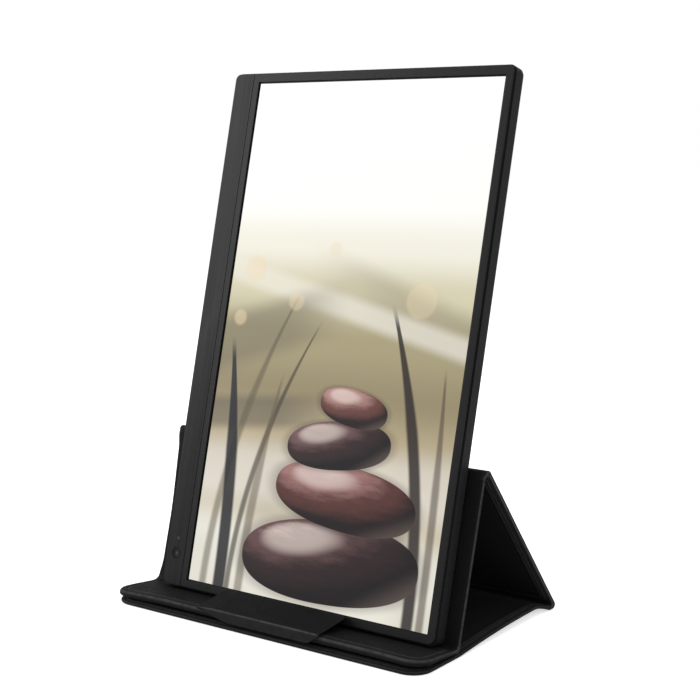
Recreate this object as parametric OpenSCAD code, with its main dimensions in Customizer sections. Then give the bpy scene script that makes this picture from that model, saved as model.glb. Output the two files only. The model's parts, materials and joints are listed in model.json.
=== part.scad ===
// Portable monitor, standing upright on a folding cover that makes a triangular stand.
// Units are millimetres. +Z is up and the screen faces -Y.
// The origin is on the table, under the middle of the cover's base.

/* [Screen] */
// Width of the lit screen, monitor upright
screen_w = 193.6; // [170:0.2:215]
// Height of the lit screen, monitor upright
screen_h = 344.2; // [300:0.2:380]
// Thickness of the liquid crystal cell with its polarisers
cell_t = 1.1; // [0.8:0.1:1.4]
// Thickness of the stack of diffuser and prism films
film_t = 0.5; // [0.3:0.1:0.8]
// Thickness of the light guide
guide_t = 1.5; // [1:0.1:2]
// Thickness of the reflector behind the light guide
reflector_t = 0.2; // [0.1:0.1:0.4]
// Depth of the row of backlight diodes, across the light guide's edge
led_w = 2.6; // [1.6:0.1:3]
// Number of backlight diodes
led_count = 36; // [12:2:40]

/* [Monitor casing] */
// Width of the control side, from the casing's edge to the lit screen
chin_w = 23.2; // [21:0.1:30]
// Width of the brushed strip on the control side
strip_w = 16; // [12:0.1:18]
// Width of the plain side, from the casing's edge to the lit screen
side_w = 6.7; // [6:0.1:12]
// Height of the bottom border
bottom_h = 6.8; // [6.6:0.1:12]
// Height of the top border
top_h = 7.8; // [7.4:0.1:12]
// Thickness of the whole monitor
monitor_t = 13; // [11:0.5:15]
// Radius of the casing's corners, seen from the front
corner_r = 5; // [3.5:0.1:8]
// Radius of the rounded edge round the back
back_edge_r = 2.5; // [1.5:0.1:3]
// Step from the rear cover's side in to the front bezel's side
bezel_step = 1; // [0.5:0.1:1.4]
// Thickness of the front bezel's face
bezel_t = 1.2; // [0.9:0.1:1.5]
// Depth of the front bezel's skirt
skirt_h = 2.2; // [1.8:0.1:2.6]
// Shadow gap between the front bezel and the rear cover
seam = 0.3; // [0.2:0.1:0.6]
// Wall of the rear cover
wall = 1.6; // [1.2:0.1:2]
// Width of the gap between the brushed strip and the bezel
strip_gap = 0.3; // [0.2:0.1:0.6]
// Thickness of the steel tray that carries the screen
tray_t = 0.5; // [0.4:0.1:0.8]
// Ribs inside the rear cover, across
rib_rows = 4; // [2:1:8]

/* [Controls and socket] */
// Radius of the power button's cap
button_r = 3.8; // [2.6:0.1:3.8]
// Height of the power button above the casing's bottom edge
button_z = 22.8; // [20:0.1:24]
// Travel of the power button
button_travel = 0.4; // [0.2:0.1:0.6]
// Height of the status light above the casing's bottom edge
lamp_z = 32.9; // [32.5:0.1:42]
// Radius of the status light's pipe
lamp_r = 1.1; // [0.5:0.1:1.2]
// Width of the round-ended cable socket
socket_w = 8.94; // [8:0.01:10]
// Thickness of the cable socket
socket_t = 3.16; // [2.6:0.01:3.4]
// Depth of the cable socket
socket_len = 7.3; // [6:0.1:9]
// Length of the main board
board_len = 150; // [110:1:170]
// Thickness of the circuit boards
board_t = 1; // [0.6:0.1:1.2]

/* [Cover] */
// Width of the cover, of its base and of its folding panels alike
base_w = 250; // [240:1:290]
// Length of the base, from the front edge to the rear crease
base_len = 164.5; // [150:1:185]
// Length of the front panel, from its front edge to the bend
front_len = 41.25; // [38:0.05:46]
// Slope of the strut
strut_angle = 50.2; // [48:0.1:53]
// Lean of the support panel behind the monitor, from upright
support_lean = 15.3; // [14.2:0.1:17]
// Lean of the monitor, from upright
monitor_lean = 14; // [12:0.1:15]
// Slope of the front panel's top, up towards its front edge
front_rise = 6.5; // [4:0.1:7]
// Thickness of the front panel's padded front edge
front_edge_t = 5; // [4:0.1:5.6]
// Thickness of the outer skin
skin_t = 0.7; // [0.5:0.1:1]
// Thickness of the stiffening boards
stiff_t = 1.3; // [1.3:0.1:1.8]
// Thickness of the lining
lining_t = 0.6; // [0.4:0.1:0.9]
// Width of the turned hem round each panel
hem_w = 3.5; // [2.5:0.1:5]
// Radius of the cover's front corners
cover_corner_r = 14; // [8:0.5:18]
// Radius of the other panel corners
panel_corner_r = 3; // [1.5:0.5:4]
// Height of the arch under the base
arch_h = 5.2; // [3:0.1:6]
// Number of magnets in the support panel
magnet_count = 4; // [2:1:6]
// Radius of the magnets
magnet_r = 5; // [3:0.5:7]

/* [Lip flap] */
// Width of the flap at its free edge
flap_w = 100; // [70:1:130]
// How much narrower the flap is at its crease
flap_taper = 1; // [0:1:12]
// Thickness of the flap
flap_t = 1.8; // [1.6:0.1:2.2]
// Thickness of the flap's own skin, on each side
flap_skin_t = 0.5; // [0.4:0.1:0.6]
// Slope of the flap, up towards the screen
flap_rise = 7; // [5:0.1:9]

/* [Clearances] */
// Gap between the monitor and the cover panels that it stands on and leans on
seat_gap = 0.3; // [0.2:0.1:0.5]
// Gap between the folded panels and the base
foot_gap = 0.3; // [0.2:0.1:0.8]
// Gap left at each crease, from its axis to the end of a panel
crease_gap = 0.8; // [0.5:0.1:1.5]
// Gap between the flap's free edge and the monitor
flap_gap = 0.5; // [0.3:0.1:1]
// Small gap round what is fitted into a pocket
fit = 0.1; // [0.05:0.05:0.2]

/* [Hidden] */
panel_w = base_w;
$fn = 48;
hull_fn = 32;

monitor_w = chin_w + screen_w + side_w;
monitor_h = bottom_h + screen_h + top_h;
monitor_x = 3.8;                                 // the monitor stands a little off the cover's middle
flap_x = 0;                                      // the flap is in the cover's middle
panel_t = skin_t + stiff_t + lining_t;

// Side view of the cover, as [y, z] points. Each crease's axis lies on its panels' inner faces.
rear_axis = [base_len / 2 - panel_t, panel_t];
front_setback = 0.3;
bend_axis = [front_setback + flap_t - base_len / 2 + front_len * cos(front_rise), panel_t + foot_gap + panel_t];
flap_axis = bend_axis + front_len * [-cos(front_rise), sin(front_rise)];
// The strut and the support panel meet where their slopes cross.
span = rear_axis - bend_axis + panel_t * [-cos(support_lean), sin(support_lean)];
strut_len = (span[0] * cos(support_lean) - span[1] * sin(support_lean)) / cos(strut_angle - support_lean);
top_axis = rear_axis + strut_len * [-cos(strut_angle), sin(strut_angle)];
support_top = top_axis + panel_t * [-cos(support_lean), sin(support_lean)];
support_len = norm(support_top - bend_axis);

// The monitor's rounded lower back edge sits in the bend, seat_gap clear of both panels.
seat_off = back_edge_r + seat_gap;
seat_a = 90 - support_lean + front_rise;         // half of the way to the bend's open side
seat_n1 = [sin(front_rise), cos(front_rise)];    // up from the front panel
seat_n2 = [-cos(support_lean), sin(support_lean)]; // forward from the support panel
seat_det = seat_n1[0] * seat_n2[1] - seat_n1[1] * seat_n2[0];
seat = bend_axis + seat_off / seat_det * [seat_n2[1] - seat_n1[1], seat_n1[0] - seat_n2[0]];
lean_up = [sin(monitor_lean), cos(monitor_lean)];
lean_back = [cos(monitor_lean), -sin(monitor_lean)];
monitor_foot = seat - (monitor_t - back_edge_r) * lean_back - back_edge_r * lean_up;

// The flap reaches from its crease to the monitor's face.
flap_dir = [cos(flap_rise), sin(flap_rise)];
flap_reach = (monitor_foot - flap_axis) * lean_back - flap_gap;
flap_len = flap_reach / (flap_dir * lean_back);

// Monitor, from its own front face back. x is across, y is depth and z is height from its bottom edge.
left_x = -monitor_w / 2;
right_x = monitor_w / 2;
lit_x = left_x + chin_w;
strip_x = left_x + bezel_step + strip_w;
shell_y = skirt_h + seam;
inner_y = monitor_t - wall;
skirt_w = 1.2;
lip_in = bezel_step + skirt_w + fit;
lip_w = 0.9;
window_rim = 1;
cell_y = bezel_t;
film_y = cell_y + cell_t;
guide_y = film_y + film_t;
reflector_y = guide_y + guide_t;
tray_y = reflector_y + reflector_t;
tray_back = tray_y + tray_t;
cell_edge = 2.4;                                 // cell beyond the lit screen
cell_ledge = 4.6;                                // cell beyond the lit screen, on the side with the drivers
stack_edge = 1;                                  // films and light guide beyond the lit screen
tray_wall = 0.4;
boss_r = 3.4;
standoff_h = 1.2;
screw_r = 1;
screw_head_r = 2.2;
screw_head_h = 1;
pad_r = 4;
pad_t = 0.6;
screw_inset_x = 16;
screw_inset_z = 14;
board_y = tray_y - 0.1;
board_x = left_x + 3.6;
board_w = 13;
button_x = lit_x - 13.6;
button_board_len = 30;
button_board_w = 12;
button_flange_r = button_r + 0.8;
button_flange_t = 0.6;
switch_w = 4.5;
switch_t = 0.9;
can_size = [10, 1.6, 24];
rib_t = 1.2;
plate_w = 106;
plate_t = 0.8;
plate_h = 30;
plate_size = [plate_w, plate_t, plate_h];
flex_count = 5;
flex_w = 22;
flex_t = 0.15;
timing_w = 11;
timing_len = 210;
ribbon_w = 14;
rib_pitch = (monitor_h - 2 * wall) / (rib_rows + 1);

// ---- helpers ----

// A side view in [y, z], drawn out along X and centred on x = 0
module side_view(w) translate([-w / 2, 0, 0]) rotate([90, 0, 90]) linear_extrude(w) children();

// Moves a piece to a side-view point p, with its +Y along angle a
module at(p, a) translate([0, p[0], p[1]]) rotate([a, 0, 0]) children();

// A flat outline across X and from y0 to y1, with its own corner radius at each end
module outline(w, y0, y1, r0, r1) {
    translate([-w / 2, y0 + r0]) square([w, y1 - y0 - r0 - r1]);
    translate([-w / 2 + r0, y0]) square([w - 2 * r0, r0]);
    translate([-w / 2 + r1, y1 - r1]) square([w - 2 * r1, r1]);
    for (side = [-1, 1]) {
        translate([side * (w / 2 - r0), y0 + r0]) circle(r0);
        translate([side * (w / 2 - r1), y1 - r1]) circle(r1);
    }
}

// A flat panel piece between heights z0 and z1
module sheet(w, y0, y1, z0, z1, r0, r1)
    translate([0, 0, z0]) linear_extrude(z1 - z0) outline(w, y0, y1, r0, r1);

// Pocket radius that follows an outer corner, in by d
function inner_r(r, d) = max(r - d, 0.5);

// The skin of a panel from y0 to y1: its face on the z_face side, and a turned hem round the rest
module skin(w, y0, y1, z0, z_face, r0, r1) {
    up = z_face > z0;
    z_lo = min(z0, z_face);
    z_hi = max(z0, z_face);
    difference() {
        sheet(w, y0, y1, z_lo, z_hi, r0, r1);
        sheet(w - 2 * hem_w, y0 + hem_w, y1 - hem_w,
            up ? z_lo - 1 : z_lo + skin_t, up ? z_hi - skin_t : z_hi + 1,
            inner_r(r0, hem_w), inner_r(r1, hem_w));
    }
}

// The board or lining inside that hem, between heights z0 and z1
module filling(w, y0, y1, z0, z1, r0, r1) {
    in = hem_w + fit;
    sheet(w - 2 * in, y0 + in, y1 - in, z0, z1, inner_r(r0, in), inner_r(r1, in));
}

// A crease seen from the side: leather round the axis from angle a0 to a1, with a thinner lip at each end
module fold(r, t, a0, a1, end_lip = crease_gap) {
    reach = 2 * r;
    mid = (a0 + a1) / 2;
    difference() {
        intersection() {
            circle(r);
            polygon([[0, 0], reach * [cos(a0), sin(a0)], 2 * reach * [cos(mid), sin(mid)],
                reach * [cos(a1), sin(a1)]]);
        }
        circle(r - t);
    }
    rotate(a0 - 90) translate([-bond, r - t + trim]) square([crease_gap + bond, t - 2 * trim]);
    if (end_lip > 0) rotate(a1 - 90) translate([-end_lip, r - t + trim]) square([end_lip + bond, t - 2 * trim]);
}

bond = 0.3;                                      // how far a lip runs into its fold's arc
trim = 0.1;                                      // how much thinner than the arc it is, on each face

// The base's side view between heights z0 and z1 of its own thickness, from y0 to y1
base_crease_y = -36;
arch_y = 50;
landing_y = base_len / 2 - 6;
function base_floor(y) =
    y < base_crease_y ? 0 :
    y < arch_y ? arch_h * (y - base_crease_y) / (arch_y - base_crease_y) :
    y < landing_y ? arch_h * (landing_y - y) / (landing_y - arch_y) : 0;
base_stops = [base_crease_y, arch_y, landing_y];
module base_strip(w, y0, y1, z0, z1) {
    ys = concat([y0], [for (y = base_stops) if (y > y0 && y < y1) y], [y1]);
    side_view(w) polygon(concat(
        [for (y = ys) [y, base_floor(y) + z0]],
        [for (i = [len(ys) - 1:-1:0]) [ys[i], base_floor(ys[i]) + z1]]));
}
base_y0 = -base_len / 2;
base_y1 = rear_axis[0] - crease_gap;
base_plan_h = 3 * panel_t + arch_h;
module base_plan(in) translate([0, 0, -panel_t]) linear_extrude(base_plan_h)
    outline(base_w - 2 * in, base_y0 + in, base_y1 - in, inner_r(cover_corner_r, in),
        inner_r(panel_corner_r, in));

// ---- cover: base ----

module base_skin() color("#17181a") difference() {
    intersection() {
        base_strip(base_w, base_y0, base_y1, 0, panel_t);
        base_plan(0);
    }
    intersection() {
        base_strip(base_w, base_y0, base_y1, skin_t, panel_t + 1);
        base_plan(hem_w);
    }
}

module base_board(y0, y1) color("#8a7a5c") intersection() {
    base_strip(base_w, y0, y1, skin_t, skin_t + stiff_t);
    base_plan(hem_w + fit);
}
module base_board_front() base_board(base_y0, base_crease_y - crease_gap);
module base_board_rear() base_board(base_crease_y + crease_gap, arch_y - crease_gap);
module spine_board() base_board(arch_y + crease_gap, base_y1);

module base_lining() color("#202124") intersection() {
    base_strip(base_w, base_y0, base_y1, skin_t + stiff_t, panel_t);
    base_plan(hem_w + fit);
}

// ---- cover: strut behind ----

strut_y0 = crease_gap;
strut_y1 = strut_len - crease_gap;
module on_strut() at(top_axis, -strut_angle) children();

module strut_skin() color("#17181a") on_strut()
    skin(panel_w, strut_y0, strut_y1, 0, panel_t, panel_corner_r, panel_corner_r);
module strut_board() color("#8a7a5c") on_strut()
    filling(panel_w, strut_y0, strut_y1, lining_t, lining_t + stiff_t, panel_corner_r, panel_corner_r);
module strut_lining() color("#202124") on_strut()
    filling(panel_w, strut_y0, strut_y1, 0, lining_t, panel_corner_r, panel_corner_r);
module rear_crease_fold() color("#17181a") side_view(panel_w)
    translate(rear_axis) fold(panel_t, skin_t, -90, 90 - strut_angle);

// ---- cover: support panel behind the monitor ----

support_y0 = crease_gap;
support_y1 = support_len - crease_gap;
magnet_t = 1.2;
magnet_y = support_len - 52;
magnet_pitch = 30;
module on_support() at(bend_axis, 90 - support_lean) children();
module magnet_spots() for (i = [0:magnet_count - 1])
    translate([(i - (magnet_count - 1) / 2) * magnet_pitch, magnet_y, 0]) children();

module support_skin() color("#17181a") on_support()
    skin(panel_w, support_y0, support_y1, -panel_t, 0, panel_corner_r, panel_corner_r);
module support_board() color("#8a7a5c") on_support() difference() {
    filling(panel_w, support_y0, support_y1, -skin_t - stiff_t, -skin_t, panel_corner_r, panel_corner_r);
    magnet_spots() translate([0, 0, -skin_t - magnet_t]) cylinder(r = magnet_r + fit, h = magnet_t + 1);
}
module support_magnets() color("#9a9ca0") on_support() magnet_spots()
    translate([0, 0, -skin_t - magnet_t]) cylinder(r = magnet_r, h = magnet_t);
module support_lining() color("#202124") on_support()
    filling(panel_w, support_y0, support_y1, -panel_t, -panel_t + lining_t, panel_corner_r, panel_corner_r);
module top_crease_fold() color("#17181a") side_view(panel_w)
    translate(top_axis) fold(panel_t, skin_t, 90 - strut_angle, 180 - support_lean);

// ---- cover: front panel under the monitor ----

front_y0 = 0;
front_y1 = front_len - crease_gap;
module on_front() at(flap_axis, -front_rise) children();

// The part of this wedge-shaped panel between z = top and a line that is lift above its underside
module wedge(w, top, lift) side_view(w) polygon([[front_y0 - 1, top], [front_len + 1, top],
    [front_len + 1, lift - front_depth(front_len + 1)], [front_y0 - 1, lift - front_depth(front_y0 - 1)]]);
function front_depth(y) = panel_t + (front_edge_t - panel_t) * (front_len - y) / (front_len - front_y0);

module front_panel_skin() color("#17181a") on_front() difference() {
    intersection() {
        sheet(panel_w, front_y0, front_y1, -front_edge_t - 1, 0, cover_corner_r, panel_corner_r);
        wedge(panel_w, 0, 0);
    }
    sheet(panel_w - 2 * hem_w, front_y0 + hem_w, front_y1 - hem_w, -front_edge_t - 1, -skin_t,
        inner_r(cover_corner_r, hem_w), inner_r(panel_corner_r, hem_w));
}
module front_panel_board() color("#8a7a5c") on_front() intersection() {
    filling(panel_w, front_y0, front_y1, -front_edge_t, -skin_t, cover_corner_r, panel_corner_r);
    wedge(panel_w, 0, lining_t);
}
module front_panel_lining() color("#202124") on_front() intersection() {
    filling(panel_w, front_y0, front_y1, -front_edge_t - 1, -skin_t - 0.1, cover_corner_r, panel_corner_r);
    difference() {
        wedge(panel_w, 0, 0);
        wedge(panel_w + 1, 1, lining_t);
    }
}
module front_bend_fold() color("#17181a") side_view(panel_w)
    translate(bend_axis) fold(panel_t, skin_t, -90 - front_rise, -support_lean);

// ---- cover: lip flap ----

flap_corner_r = 3;
corner_proud = 0.02;                             // so that corner and edge cross cleanly
flap_hem = 2;
module on_flap() translate([flap_x, 0, 0]) at(flap_axis, flap_rise) children();
flap_side = [flap_taper / 2, flap_len] / norm([flap_taper / 2, flap_len]);
module flap_outline(in) {
    r = flap_corner_r;
    out = [flap_side[1], -flap_side[0]];
    centre = [(flap_w - flap_taper) / 2 - (r + (flap_len - r) * out[1]) / out[0], flap_len - r];
    start = crease_gap + in;
    foot = [(flap_w - flap_taper) / 2 + start * flap_side[0] / flap_side[1] - in / out[0], start];
    side_end = centre + (r - in) * out;
    polygon([[-foot[0], foot[1]], foot, side_end, centre, centre + [0, r - in], [-centre[0], flap_len - in],
        [-centre[0], centre[1]], [-side_end[0], side_end[1]]]);
    for (side = [-1, 1]) translate([side * centre[0], centre[1]]) circle(r - in + corner_proud);
}

module flap_skin() color("#17181a") on_flap() difference() {
    linear_extrude(flap_t) flap_outline(0);
    translate([0, 0, flap_skin_t]) linear_extrude(flap_t - 2 * flap_skin_t) flap_outline(flap_hem);
}
module flap_board() color("#8a7a5c") on_flap()
    translate([0, 0, flap_skin_t]) linear_extrude(flap_t - 2 * flap_skin_t) flap_outline(flap_hem + fit);
module flap_crease_fold() color("#17181a") translate([flap_x, 0, 0]) side_view(flap_w - flap_taper)
    translate(flap_axis) fold(flap_t, flap_skin_t, 90 + flap_rise, 270 - front_rise, 0);

// ---- monitor casing ----

module on_monitor() translate([monitor_x, monitor_foot[0], monitor_foot[1]])
    rotate([-monitor_lean, 0, 0]) children();

// An upright outline of the casing, in by d, drawn back from depth y0 to y1
module casing(d, y0, y1, r) translate([0, y1, 0]) rotate([90, 0, 0]) linear_extrude(y1 - y0)
    outline(monitor_w - 2 * d, d, monitor_h - d, r, r);

// A block between two corners
module block(a, b) translate(a) cube(b - a);

module front_tray() difference() {
    casing(bezel_step, 0, skirt_h, corner_r - bezel_step);
    casing(bezel_step + skirt_w, bezel_t, skirt_h + 1, inner_r(corner_r, bezel_step + skirt_w));
}

module front_bezel() color("#2b2c2f") on_monitor() difference() {
    front_tray();
    block([left_x - 1, -1, -1], [strip_x + strip_gap, skirt_h + 1, monitor_h + 1]);
    block([lit_x - window_rim, -1, bottom_h - window_rim],
        [lit_x + screen_w + window_rim, bezel_t + 1, bottom_h + screen_h + window_rim]);
}

module brushed_strip() color("#303134") on_monitor() difference() {
    intersection() {
        front_tray();
        block([left_x - 1, -1, -1], [strip_x, skirt_h + 1, monitor_h + 1]);
    }
    translate([button_x, -1, button_z]) rotate([-90, 0, 0]) cylinder(r = button_r + 1.5 * fit, h = bezel_t + 2);
    translate([button_x, -1, lamp_z]) rotate([-90, 0, 0]) cylinder(r = lamp_r + fit / 2, h = bezel_t + 2);
}

// Outside of the rear cover, its back edge rounded in a few steps
edge_steps = 4;
module shell_body() hull() {
    casing(0, shell_y, monitor_t - back_edge_r, corner_r, $fn = hull_fn);
    for (i = [1:edge_steps]) {
        a = 90 * i / edge_steps;
        in = back_edge_r * (1 - cos(a));
        y = monitor_t - back_edge_r * (1 - sin(a));
        casing(in, y - 0.02, y, corner_r - in + 0.5, $fn = hull_fn);
    }
}

module screw_spots() for (sx = [left_x + chin_w + screw_inset_x, right_x - screw_inset_x],
    sz = [screw_inset_z, monitor_h - screw_inset_z]) translate([sx, 0, sz]) rotate([-90, 0, 0]) children();
module board_spots() for (k = [0.12, 0.5, 0.86])
    translate([board_x + 3, 0, board_z0 + k * board_len]) rotate([-90, 0, 0]) children();
module button_board_spots() for (k = [0.1, 0.9])
    translate([button_x - 3.5, 0, button_board_z + k * button_board_len]) rotate([-90, 0, 0]) children();

module socket_outline(grow) {
    r = socket_t / 2 + grow;
    flat = socket_w - socket_t;
    square([flat, 2 * r], center = true);
    for (side = [-1, 1]) translate([side * flat / 2, 0]) circle(r);
}
socket_x = board_x + board_w / 2 + 1.2;
socket_y = board_y + board_t + socket_t / 2;
socket_z = monitor_h - 1.2;
board_z0 = monitor_h - wall - 2.4 - board_len;
button_board_z = button_z - 11;
magnet_spot = bend_axis + magnet_y * [sin(support_lean), cos(support_lean)];
plate_z = (magnet_spot - monitor_foot) * lean_up - plate_size[2] / 2;   // level with the magnets
plate_low = [-plate_w / 2 + 3, inner_y - plate_t, plate_z];
small_boss_r = 1.9;
small_screw_r = 0.8;
small_head_r = 1.5;
small_head_h = 0.8;

module rear_cover() color("#26272a") on_monitor() difference() {
    union() {
        difference() {
            shell_body();
            casing(wall, shell_y - 1, inner_y, corner_r - wall);
        }
        difference() {
            casing(lip_in, bezel_t, shell_y + 1, inner_r(corner_r, lip_in));
            casing(lip_in + lip_w, 0, shell_y + 2, inner_r(corner_r, lip_in + lip_w));
        }
        difference() {
            casing(wall - 0.1, shell_y, shell_y + 1, inner_r(corner_r, wall));
            casing(lip_in + lip_w, 0, shell_y + 2, inner_r(corner_r, lip_in + lip_w));
        }
        difference() {
            for (i = [1:rib_rows]) block(
                [lit_x + 26, tray_back, wall + i * rib_pitch - rib_t / 2],
                [right_x - wall, inner_y + 0.1, wall + i * rib_pitch + rib_t / 2]);
            block(plate_low - [fit, fit, fit], plate_low + plate_size + [fit, 1, fit]);
        }
        block([lit_x + screw_inset_x + 14, tray_back, wall], [lit_x + screw_inset_x + 14 + rib_t, inner_y + 0.1,
            monitor_h - wall]);
        screw_spots() translate([0, 0, tray_back + standoff_h])
            cylinder(r = boss_r, h = inner_y - tray_back - standoff_h + 0.1);
        board_spots() translate([0, 0, board_y + board_t])
            cylinder(r = small_boss_r, h = inner_y - board_y - board_t + 0.1);
        button_board_spots() translate([0, 0, board_y + board_t])
            cylinder(r = small_boss_r, h = inner_y - board_y - board_t + 0.1);
    }
    screw_spots() {
        cylinder(r = screw_r + fit / 2, h = monitor_t + 1);
        translate([0, 0, monitor_t - pad_t - screw_head_h]) cylinder(r = screw_head_r + fit, h = monitor_t);
        translate([0, 0, monitor_t - pad_t]) cylinder(r = pad_r + fit, h = monitor_t);
    }
    board_spots() translate([0, 0, board_y]) cylinder(r = small_screw_r + fit / 2, h = board_t + 2.5);
    button_board_spots() translate([0, 0, board_y]) cylinder(r = small_screw_r + fit / 2, h = board_t + 2.5);
    translate([socket_x, socket_y, monitor_h - 6]) linear_extrude(12) socket_outline(0.25);
}

module rubber_pads() color("#141415") on_monitor() screw_spots()
    translate([0, 0, monitor_t - pad_t]) cylinder(r = pad_r, h = pad_t);

module case_screws() color("#8f9196") on_monitor() screw_spots() difference() {
    union() {
        translate([0, 0, monitor_t - pad_t - screw_head_h]) cylinder(r = screw_head_r, h = screw_head_h);
        translate([0, 0, tray_back + 0.1])
            cylinder(r = screw_r, h = monitor_t - pad_t - screw_head_h - tray_back);
    }
    for (turn = [0, 90]) rotate(turn)
        translate([-1.2, -0.3, monitor_t - pad_t - 0.5]) cube([2.4, 0.6, 1]);
}

// ---- screen stack ----

module stack_piece(side, ledge, y0, y1) block(
    [lit_x - ledge, y0, bottom_h - side],
    [lit_x + screen_w + side, y1, bottom_h + screen_h + side]);

module lcd_cell() color("#d8dcdf") on_monitor() stack_piece(cell_edge, cell_ledge, cell_y, film_y);
module film_stack() color("#f2f4f6") on_monitor() stack_piece(stack_edge, stack_edge, film_y, guide_y);
module light_guide() color("#e8f2f6") on_monitor() stack_piece(stack_edge, stack_edge, guide_y, reflector_y);
module reflector() color("#fafafa") on_monitor() stack_piece(stack_edge, stack_edge + led_w, reflector_y, tray_y);

// Diodes on a thin strip, against the light guide's edge
led_board_t = 0.3;
led_pitch = screen_h / led_count;
led_len = 3;
module backlight_strip() color("#f0e9c8") on_monitor() {
    block([lit_x - stack_edge - led_w, guide_y, bottom_h], [lit_x - stack_edge - led_w + led_board_t, reflector_y,
        bottom_h + screen_h]);
    for (i = [0:led_count - 1]) {
        z = bottom_h + (i + 0.5) * led_pitch;
        block([lit_x - stack_edge - led_w + led_board_t / 2, guide_y + fit, z - led_len / 2],
            [lit_x - stack_edge, reflector_y - fit, z + led_len / 2]);
    }
}

tray_in = fit;
tray_ledge = stack_edge + led_w + tray_in;
module screen_tray() color("#a9acb0") on_monitor() difference() {
    union() {
        stack_piece(stack_edge + tray_in + tray_wall, tray_ledge + tray_wall, film_y, tray_back);
        screw_spots() translate([0, 0, tray_y + 0.1]) cylinder(r = boss_r - 0.4, h = tray_t + standoff_h - 0.1);
    }
    stack_piece(stack_edge + tray_in, tray_ledge, film_y - 1, tray_y);
    screw_spots() translate([0, 0, tray_back + 0.05]) cylinder(r = screw_r + fit / 2, h = standoff_h + 1);
}

// ---- electronics ----

// Flexes from the cell's ledge, round the tray's edge, to the timing board on the tray's back
flex_in = lit_x - tray_ledge - tray_wall;
flex_out = flex_in - 1.2;
timing_x = lit_x + 1;
timing_y = tray_back;
module flex_path() polygon([
    [lit_x - cell_ledge + 1, cell_y], [flex_out, cell_y], [flex_out, timing_y + board_t + flex_t],
    [timing_x + 3, timing_y + board_t + flex_t], [timing_x + 3, timing_y + board_t],
    [flex_out + flex_t, timing_y + board_t], [flex_out + flex_t, cell_y + flex_t], [lit_x - cell_ledge + 1,
    cell_y + flex_t]]);
timing_z = bottom_h + (screen_h - timing_len) / 2;
module panel_flexes() color("#b0702c") on_monitor() for (i = [0:flex_count - 1])
    translate([0, 0, timing_z + (i + 0.5) * timing_len / flex_count - flex_w / 2]) difference() {
        linear_extrude(flex_w) flex_path();
        translate([lit_x - cell_ledge, cell_y - 1, -1]) cube([cell_ledge, 1 + cell_t, flex_w + 2]);
    }

module timing_board() color("#1f5c33") on_monitor()
    block([timing_x, timing_y, timing_z], [timing_x + timing_w, timing_y + board_t, timing_z + timing_len]);

ribbon_drop = 60;
ribbon_z = timing_z + timing_len - ribbon_drop;
ribbon_y = timing_y + board_t + 2 * flex_t;
ribbon_t = 0.3;
plug_w = 3;
module ribbon_cable() color("#e6e2d6") on_monitor() {
    x0 = board_x + board_w - plug_w - 1;
    x1 = timing_x + timing_w - 1;
    block([x0, ribbon_y, ribbon_z], [x1, ribbon_y + ribbon_t, ribbon_z + ribbon_w]);
    block([x0, board_y + board_t, ribbon_z], [x0 + plug_w, ribbon_y + ribbon_t / 2, ribbon_z + ribbon_w]);
    block([x1 - plug_w, timing_y + board_t, ribbon_z], [x1, ribbon_y + ribbon_t / 2, ribbon_z + ribbon_w]);
}

module main_board() color("#1f5c33") on_monitor() difference() {
    block([board_x, board_y, board_z0], [board_x + board_w, board_y + board_t, board_z0 + board_len]);
    board_spots() translate([0, 0, board_y - 1]) cylinder(r = small_screw_r + fit, h = board_t + 2);
}

can_z = board_z0 + board_len * 0.62;
module shield_can() color("#b8babd") on_monitor() difference() {
    translate([board_x + 2.4, board_y - can_size[1], can_z]) cube(can_size);
    translate([board_x + 2.6, board_y - can_size[1] + 0.2, can_z + 0.2])
        cube(can_size + [-0.4, 1, -0.4]);
}

chip_size = [7, 0.9, 7];
chip_rows = [0.2, 0.32, 0.44];
module board_chips() color("#18191a") on_monitor() for (k = chip_rows)
    translate([board_x + 5, board_y - chip_size[1], board_z0 + k * board_len]) cube(chip_size);

module cable_socket() color("#b9bbbe") on_monitor()
    translate([socket_x, socket_y, socket_z - socket_len]) difference() {
        linear_extrude(socket_len) socket_outline(0);
        translate([0, 0, 0.8]) linear_extrude(socket_len) socket_outline(-0.3);
    }
tongue_size = [6.2, 0.7, 4.6];
module socket_tongue() color("#101011") on_monitor()
    translate([socket_x - tongue_size[0] / 2, socket_y - tongue_size[1] / 2, socket_z - socket_len + 0.8])
        cube(tongue_size);

module board_screws() color("#8f9196") on_monitor() {
    board_spots() small_screw();
    button_board_spots() small_screw();
}
module small_screw() {
    translate([0, 0, board_y - small_head_h]) cylinder(r = small_head_r, h = small_head_h);
    translate([0, 0, board_y - 0.1]) cylinder(r = small_screw_r, h = board_t + 2);
}

module button_board() color("#1f5c33") on_monitor() difference() {
    translate([button_x - button_board_w / 2, board_y, button_board_z])
        cube([button_board_w, board_t, button_board_len]);
    button_board_spots() translate([0, 0, board_y - 1]) cylinder(r = small_screw_r + fit, h = board_t + 2);
}

switch_top = board_y - switch_t;
plunger_r = 1.1;
plunger_h = 0.3;
module tact_switch() color("#c9cbce") on_monitor() {
    translate([button_x - switch_w / 2, switch_top, button_z - switch_w / 2]) cube([switch_w, switch_t, switch_w]);
    translate([button_x, switch_top - plunger_h, button_z]) rotate([-90, 0, 0])
        cylinder(r = plunger_r, h = plunger_h + 0.1);
}

lamp_t = 0.6;
module status_lamp() color("#e9edf0") on_monitor()
    translate([button_x - lamp_t, board_y - lamp_t, lamp_z - lamp_t]) cube([2 * lamp_t, lamp_t, 2 * lamp_t]);
module light_pipe() color("#dfe6ea") on_monitor() translate([button_x, 0, lamp_z]) rotate([-90, 0, 0]) {
    cylinder(r = lamp_r, h = board_y - lamp_t);
    translate([0, 0, bezel_t]) cylinder(r = 2 * lamp_r, h = 0.5);
}

module steel_plate() color("#8d9094") on_monitor()
    translate(plate_low) cube(plate_size);

// ---- power button ----

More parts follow.
